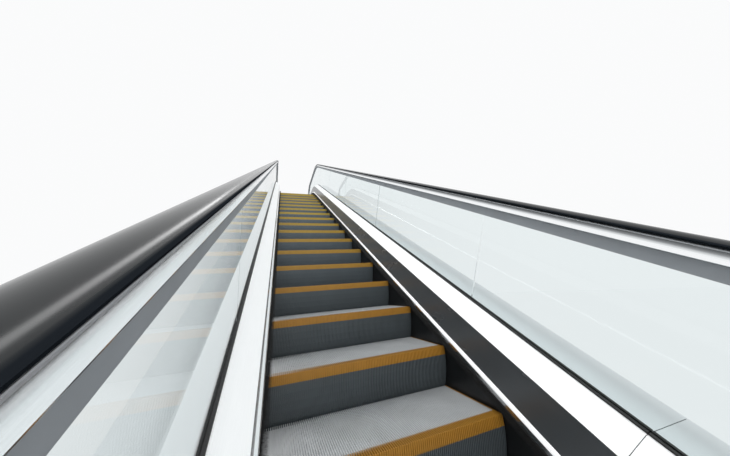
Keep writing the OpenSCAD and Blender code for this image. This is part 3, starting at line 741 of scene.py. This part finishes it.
def add_rollers(verts, faces, mats):
    """Adds axle ends with their rollers, and the trailing rollers with their pins."""
    axle = (AXLE_BACK, -AXLE_DROP)
    trail = (TRAIL_BACK, -TRAIL_DROP)
    shaft = [(WEB_X - WEB_T, COLLAR_R), (HALF_W, COLLAR_R), (HALF_W + COLLAR_SLOPE, AXLE_R),
             (CHAIN_X + AXLE_PAST_CHAIN, AXLE_R)]
    pin = [(TRAIL_X - PIN_PAST_ROLLER, PIN_R), (WEB_X - PIN_IN_WEB, PIN_R)]
    axle_roller = roller_profile(CHAIN_X - ROLLER_W / 2, CHAIN_X + ROLLER_W / 2)
    trail_roller = roller_profile(TRAIL_X, TRAIL_X + ROLLER_W)
    bodies = ((shaft, axle, AXLE_SIDES, BODY), (axle_roller, axle, ROLLER_SIDES, TYRE),
              (pin, trail, AXLE_SIDES, BODY), (trail_roller, trail, ROLLER_SIDES, TYRE))
    for sign, _ in SIDES:
        for profile, centre, sides, index in bodies:
            here = [(sign * x, r) for x, r in profile]
            add_turned(here, centre, sides, verts, faces, mats, index)


def add_steps(places):
    """All steps, as copies of one mesh."""
    verts, faces, mats = [], [], []
    add_skin(verts, faces, mats)
    add_webs(verts, faces, mats)
    add_rollers(verts, faces, mats)
    first = mesh_object("step_01", verts, faces, STEP_LOOKS, mats)
    made = [first]
    for i in range(1, len(places)):
        obj = bpy.data.objects.new("step_%02d" % (i + 1), first.data)
        bpy.context.scene.collection.objects.link(obj)
        made.append(obj)
    for obj, (y, z) in zip(made, places):
        obj.location = (0, y, z)
        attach(obj, "root")
        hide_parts("steps", "step_edging")


# Combs: segments side by side at each landing, with a tooth in each groove of the tread
COMB_SEGMENTS = 10
COMB_PAST_STEP = 0.003
COMB_HALF = HALF_W + COMB_PAST_STEP
COMB_WIDE = 2 * COMB_HALF / COMB_SEGMENTS
COMB_SEAM = 0.0008
COMB_ROOT = 0.052
COMB_BEVEL = 0.0015
COMB_LOW = COMB_RISE - PLATE_T
COMB_FLAT_END = COMB_D * 0.62
COMB_ROOT_H = COMB_RISE * 0.72
TOOTH_W = 0.0030

# Side views from the comb line, where y 0 is the tips
COMB_BODY = [(-COMB_D, COMB_LOW), (-COMB_D, COMB_RISE - COMB_BEVEL),
             (-COMB_D + COMB_BEVEL, COMB_RISE), (-COMB_FLAT_END, COMB_RISE),
             (-COMB_ROOT, COMB_ROOT_H), (-COMB_ROOT, COMB_LOW)]
TOOTH = [(-COMB_ROOT, -0.006), (-COMB_ROOT, COMB_ROOT_H), (-0.020, COMB_RISE * 0.38),
         (-0.004, COMB_RISE * 0.10), (0.0, -0.001), (-0.002, -0.005), (-0.008, -0.007)]


def comb_mesh():
    """One landing's comb segments and teeth, seen from the comb line."""
    verts, faces, mats = [], [], []
    for i in range(COMB_SEGMENTS):
        x1 = -COMB_HALF + i * COMB_WIDE + COMB_SEAM / 2
        x2 = x1 + COMB_WIDE - COMB_SEAM
        add_plate(COMB_BODY, x1, x2, verts, faces, mats, 0)
    for i in range(1, CLEAT_COUNT):
        x = -CLEAT_COUNT * CLEAT_PITCH / 2 + i * CLEAT_PITCH
        add_plate(TOOTH, x - TOOTH_W / 2, x + TOOTH_W / 2, verts, faces, mats, 0)
    return verts, faces


def add_combs():
    verts, faces = comb_mesh()
    for way, y, z, name in LANDINGS:
        here = [(p[0], y + way * p[1], z + p[2]) for p in verts]
        obj = mesh_object(name + "_comb_segments", here, faces, ["comb_yellow"])
        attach(obj, "root")
        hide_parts("combs")


# Countersunk screws, flush with a landing, each with a hexagonal socket
SCREW_R = 0.0055
SOCKET_R = 0.0028
SCREW_PROUD = 0.0003
SOCKET_PROUD = SCREW_PROUD * 1.4
SCREW_SIDES = 18
SOCKET_SIDES = 6
COMB_SCREW_Y = -COMB_D * 0.81
PLATE_SCREWS = 6
PLATE_SCREW_Y = -0.182


def add_screw(x, y, z, verts, faces, mats):
    """Adds a screw's head and its socket to a mesh under construction."""
    for r, up, sides, index in ((SCREW_R, SCREW_PROUD, SCREW_SIDES, 0),
                                (SOCKET_R, SOCKET_PROUD, SOCKET_SIDES, 1)):
        base = len(verts)
        for level in (-SCREW_PROUD, up):
            for k in range(sides):
                a = 2 * math.pi * k / sides
                verts.append((x + r * math.cos(a), y + r * math.sin(a), z + level))
        faces.append([base + sides + k for k in range(sides)])
        mats.append(index)
        for k in range(sides):
            j = (k + 1) % sides
            faces.append([base + k, base + j, base + sides + j, base + sides + k])
            mats.append(index)


def add_comb_screws():
    """Two screws in each comb segment and a row in the comb plate."""
    spots = [(-COMB_HALF + (i + 0.5) * COMB_WIDE + side * COMB_WIDE / 4, COMB_SCREW_Y)
             for i in range(COMB_SEGMENTS) for side in (-1, 1)]
    gap = 2 * COMB_HALF / PLATE_SCREWS
    spots += [(-COMB_HALF + (i + 0.5) * gap, PLATE_SCREW_Y) for i in range(PLATE_SCREWS)]
    for way, y, z, name in LANDINGS:
        verts, faces, mats = [], [], []
        for x, back in spots:
            add_screw(x, y + way * back, z + COMB_RISE, verts, faces, mats)
        obj = mesh_object(name + "_comb_screws", verts, faces,
                          ["screw_steel", "gasket_black"], mats)
        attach(obj, "root")


# Sweeping along the path and round the newels
BEND_STEPS = 14
NEWEL_STEPS = 40
CLEAR_OF_NEWEL = 0.01


def path_stations(start, end, lift):
    """Points y, z along the path, moved up by lift, each with its upward normal."""
    lengths = [start, 0.0]
    lengths += [ARC_L * k / BEND_STEPS for k in range(1, BEND_STEPS + 1)]
    lengths += [STRAIGHT_END + ARC_U * k / BEND_STEPS for k in range(BEND_STEPS + 1)]
    lengths += [end]
    stations = []
    for s in lengths:
        y, z = path_point(s)
        a = path_angle(s)
        stations.append((y, z + lift, -math.sin(a), math.cos(a)))
    return stations


def turn_stations(y, z, from_angle, to_angle):
    """Stations round a newel centred at y, z."""
    made = []
    for k in range(NEWEL_STEPS + 1):
        a = from_angle + (to_angle - from_angle) * k / NEWEL_STEPS
        ny, nz = math.cos(a), math.sin(a)
        made.append((y + NEWEL_R * ny, z + NEWEL_R * nz, ny, nz))
    return made


def guide_stations():
    """The whole course of a handrail guide, from inlet to inlet."""
    low_z = NEWEL_Z - NEWEL_R
    down, up = 1.5 * math.pi, 0.5 * math.pi
    course = [(LOWER_NEWEL_Y + BASE_END - INLET_L, low_z, 0.0, -1.0)]
    course += turn_stations(LOWER_NEWEL_Y, NEWEL_Z, down, up)
    course += path_stations(LOWER_NEWEL_Y + CLEAR_OF_NEWEL - BEND_IN,
                            UPPER_NEWEL_Y - CLEAR_OF_NEWEL - BEND_OUT + PATH_L, RAIL_H)
    course += turn_stations(UPPER_NEWEL_Y, NEWEL_Z + RISE, up, -up)
    course.append((UPPER_NEWEL_Y - BASE_END + INLET_L, low_z + RISE, 0.0, -1.0))
    return course


def add_swept(section, sign, stations, verts, faces):
    """Adds a section, as x and distance along the normal, swept through the stations."""
    n = len(section)
    first = len(verts)
    for y, z, ny, nz in stations:
        for x, up in section:
            verts.append((sign * x, LWP_Y + y + ny * up, TREAD_Z + z + nz * up))
    for i in range(len(stations) - 1):
        a = first + i * n
        for k in range(n):
            j = (k + 1) % n
            faces.append([a + k, a + j, a + n + j, a + n + k])
    faces.append([first + k for k in range(n)])
    last = first + (len(stations) - 1) * n
    faces.append([last + k for k in reversed(range(n))])


# Skirt brush: two rows of bristles in a carrier. Heights are from the skirt's top,
# and distances inwards from its face
TUFT_PITCH = 0.0032
TUFT_HALF = TUFT_PITCH * 0.34
TUFT_ROOT, TUFT_TIP = 0.014, 0.0465
TIP_STRAY_UP, TIP_STRAY_OUT, TIP_STRAY_ALONG = 0.0005, 0.0004, 0.0006

# Height of a row's roots and of its tips, and its shift along in pitches
TUFT_ROWS = ((-0.0375, -0.0445, 0.0), (-0.0455, -0.0485, 0.5))
CARRIER = [(0.0, -0.0345), (0.013, -0.0345), (0.0155, -0.037), (0.0155, -0.046),
           (0.012, -0.050), (0.0, -0.053)]


def add_tuft(s, sign, root_up, tip_up, verts, faces):
    """Adds a slim pyramid of bristles at s: three points at its root and one at its tip."""
    y, z = path_point(s)
    a = path_angle(s)
    along = (math.cos(a), math.sin(a))
    across = (-math.sin(a), math.cos(a))

    def place(x, t, n):
        verts.append((x, LWP_Y + y + along[0] * t + across[0] * n,
                      TREAD_Z + SKIRT_TOP + z + along[1] * t + across[1] * n))

    base = len(verts)
    stray_up = random.uniform(-TIP_STRAY_UP, TIP_STRAY_UP)
    stray_out = random.uniform(-TIP_STRAY_OUT, TIP_STRAY_OUT)
    stray_along = random.uniform(-TIP_STRAY_ALONG, TIP_STRAY_ALONG)
    root_x = sign * (SKIRT_X - TUFT_ROOT)
    place(root_x, -TUFT_HALF, root_up - TUFT_HALF)
    place(root_x, TUFT_HALF, root_up - TUFT_HALF)
    place(root_x, 0, root_up + TUFT_HALF)
    place(sign * (SKIRT_X - TUFT_TIP) + stray_out, stray_along, tip_up + stray_up)
    faces += [[base, base + 1, base + 3], [base + 1, base + 2, base + 3],
              [base + 2, base, base + 3]]


def brush_carrier(sign, start, end, name):
    """The strip that holds the bristles, along one skirt."""
    section = [(SKIRT_X - inwards, up) for inwards, up in CARRIER]
    verts, faces = [], []
    add_swept(section, sign, path_stations(start, end, SKIRT_TOP), verts, faces)
    return mesh_object("brush_carrier_" + name, verts, faces, ["brush_black"])


def add_brushes():
    start = LOWER_NEWEL_Y + BASE_END - BEND_IN
    end = UPPER_NEWEL_Y - BASE_END - BEND_OUT + PATH_L
    for sign, name in SIDES:
        verts, faces = [], []
        for i in range(int((end - start) / TUFT_PITCH)):
            for root_up, tip_up, shift in TUFT_ROWS:
                s = start + (i + 0.5 + shift) * TUFT_PITCH
                add_tuft(s, sign, root_up, tip_up, verts, faces)
        obj = mesh_object("brush_bristles_" + name, verts, faces, ["brush_black"])
        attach(obj, "root")
        carrier = brush_carrier(sign, start, end, name)
        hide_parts("skirt_brush_" + name)
        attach(carrier, "root")


# Trim along both faces of each handrail guide: the bead that closes its flange below
# the handrail's lip, and the seal between the guide and the glass
BEAD_IN, BEAD_OUT = 0.0225, 0.0306
BEAD_TOP, BEAD_LOW = -0.0125, -0.0168
BEAD_EDGE = 0.0009
BEAD = [(BEAD_IN, BEAD_TOP), (BEAD_OUT - BEAD_EDGE, BEAD_TOP),
        (BEAD_OUT, BEAD_TOP - BEAD_EDGE), (BEAD_OUT, BEAD_LOW + BEAD_EDGE),
        (BEAD_OUT - BEAD_EDGE, BEAD_LOW), (BEAD_IN, BEAD_LOW)]
SEAL_OUT = 0.0112
SEAL_TOP, SEAL_LOW = -0.0508, -0.0992
SEAL = [(GLASS_T / 2, SEAL_LOW), (SEAL_OUT, SEAL_LOW), (SEAL_OUT, SEAL_TOP),
        (GLASS_T / 2, SEAL_TOP)]


def add_trim(name, profile, look):
    """A strip on both faces of each guide: profile is distance from the glass's middle
    and height above the handrail's seat."""
    stations = guide_stations()
    for sign, side in SIDES:
        verts, faces = [], []
        for face in (-1, 1):
            section = [(GLASS_X + face * out, up) for out, up in profile]
            add_swept(section, sign, stations, verts, faces)
        obj = mesh_object(name + "_" + side, verts, faces, [look])
        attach(obj, "root")


# Camera, found from the photo's step edges: in pixels of the photo, in degrees, and
# its place from the nose of the nearest whole step
PHOTO_W, PHOTO_H = 730, 456
FOCAL_PX = 242.1
CENTRE_ROW = 191
YAW, PITCH, ROLL = 20.94, 22.37, -4.46
NEAR_STEP = 14
CAMERA_X = -0.478
CAMERA_BEHIND = 1.790
CAMERA_ABOVE = 0.132
SENSOR_W = 36.0
CLIP_NEAR, CLIP_FAR = 0.02, 200


def add_camera(near_y, near_z):
    """The camera, from the nose of the nearest whole step."""
    data = bpy.data.cameras.new("camera")
    cam = bpy.data.objects.new("camera", data)
    bpy.context.scene.collection.objects.link(cam)
    bpy.context.scene.camera = cam
    data.sensor_width = SENSOR_W
    data.lens = FOCAL_PX / PHOTO_W * SENSOR_W
    data.shift_y = (CENTRE_ROW - PHOTO_H / 2) / PHOTO_W
    data.clip_start = CLIP_NEAR
    data.clip_end = CLIP_FAR
    yaw, pitch, roll = (math.radians(a) for a in (YAW, PITCH, ROLL))
    ahead = Vector((math.sin(yaw) * math.cos(pitch), math.cos(yaw) * math.cos(pitch),
                    math.sin(pitch)))
    level_right = Vector((math.cos(yaw), -math.sin(yaw), 0))
    level_up = level_right.cross(ahead)
    right = level_right * math.cos(roll) + level_up * math.sin(roll)
    up = level_up * math.cos(roll) - level_right * math.sin(roll)
    cam.matrix_world = Matrix((
        (right.x, up.x, -ahead.x, CAMERA_X),
        (right.y, up.y, -ahead.y, near_y - CAMERA_BEHIND),
        (right.z, up.z, -ahead.z, near_z + CAMERA_ABOVE),
        (0, 0, 0, 1)))


# Floor and sky
BACKGROUND = (0.96, 0.965, 0.97, 1)

# How much of the floor's look is the plain background, seen directly and through glass
FLOOR_GLOW = 0.7
FLOOR_BEHIND = 0.95

FLOOR_REACH = 60.0
FLOOR_DROP = 0.001
FLOOR_SCALE = 0.5
FLOOR_DARK, FLOOR_LIGHT = grey(0.895), grey(0.905)
SKY_COLOUR = (0.97, 0.985, 1.0, 1)
SKY_STRENGTH = 0.78


def ray_switch(tree, direct=1.0, through=1.0):
    """Direct for rays from the camera and gloss, through for those through glass, or 0."""
    rays = tree.nodes.new("ShaderNodeLightPath").outputs
    seen = math_node(tree, "MAXIMUM", rays["Is Camera Ray"], rays["Is Glossy Ray"])
    behind = math_node(tree, "MULTIPLY", rays["Is Transmission Ray"], through)
    return math_node(tree, "MAXIMUM", math_node(tree, "MULTIPLY", seen, direct), behind)


def floor_material():
    """A pale floor that nearly melts into the background but keeps the shadow."""
    m, tree, bsdf = new_material("floor")
    pale = noise(tree, FLOOR_SCALE, WIDE_DETAIL)
    link(tree, wandering(tree, pale, FLOOR_DARK, FLOOR_LIGHT), bsdf.inputs["Base Color"])
    set_in(bsdf, Roughness=0.9, Specular_IOR_Level=0.1)
    glow = tree.nodes.new("ShaderNodeEmission")
    glow.inputs["Color"].default_value = BACKGROUND
    mix_shaders(tree, ray_switch(tree, FLOOR_GLOW, FLOOR_BEHIND), bsdf, glow,
                tree.nodes["Material Output"])
    return m


def add_floor():
    mesh = bpy.data.meshes.new("floor")
    z = cad_box[0].z - FLOOR_DROP
    far = FLOOR_REACH
    corners = [(-far, -far, z), (far, -far, z), (far, far, z), (-far, far, z)]
    mesh.from_pydata(corners, [], [(0, 1, 2, 3)])
    floor = bpy.data.objects.new("floor", mesh)
    bpy.context.scene.collection.objects.link(floor)
    mesh.materials.append(floor_material())


def add_sky():
    """A bright overcast sky for light, and the plain background where it is seen."""
    world = bpy.data.worlds.new("world")
    bpy.context.scene.world = world
    world.use_nodes = True
    sky = world.node_tree
    sky.nodes.clear()
    lit = sky.nodes.new("ShaderNodeBackground")
    lit.inputs["Color"].default_value = SKY_COLOUR
    lit.inputs["Strength"].default_value = SKY_STRENGTH
    seen = sky.nodes.new("ShaderNodeBackground")
    seen.inputs["Color"].default_value = BACKGROUND
    seen.inputs["Strength"].default_value = 1.0
    output = sky.nodes.new("ShaderNodeOutputWorld")
    mix_shaders(sky, ray_switch(sky), lit, seen, output)


# A long lamp over the flight and parallel to it, and a broad soft one at the front
LAMP_X = -0.35
LAMP_OVER = 4.5
LAMP_SIZE, LAMP_POWER = (0.7, 24.0), 260
FRONT_AT, FRONT_AIM = (-4.0, -5.0, 8.0), (0, 5.0, 2.0)
FRONT_SIZE, FRONT_POWER = (6.0, 6.0), 200


def area_light(name, place, target, size, power):
    """A rectangular lamp that faces its target."""
    data = bpy.data.lights.new(name, "AREA")
    data.shape = "RECTANGLE"
    data.size, data.size_y = size
    data.energy = power
    obj = bpy.data.objects.new(name, data)
    bpy.context.scene.collection.objects.link(obj)
    obj.location = place
    aim = Vector(target) - Vector(place)
    obj.rotation_euler = aim.to_track_quat("-Z", "Y").to_euler()


def add_lamps():
    middle = (LAMP_X, LWP_Y + RUN / 2, TREAD_Z + RISE / 2)
    over = (LAMP_X, middle[1] - LAMP_OVER * math.sin(INCLINE),
            middle[2] + LAMP_OVER * math.cos(INCLINE))
    area_light("over_flight", over, middle, LAMP_SIZE, LAMP_POWER)
    area_light("front", FRONT_AT, FRONT_AIM, FRONT_SIZE, FRONT_POWER)


noses = step_places()
add_steps(noses)
add_combs()
add_comb_screws()
add_brushes()
add_trim("guide_bead", BEAD, "bead_grey")
add_trim("guide_seal", SEAL, "guide_seal")
add_camera(*noses[NEAR_STEP])
bpy.context.scene.view_settings.view_transform = "Standard"
add_floor()
add_sky()
add_lamps()
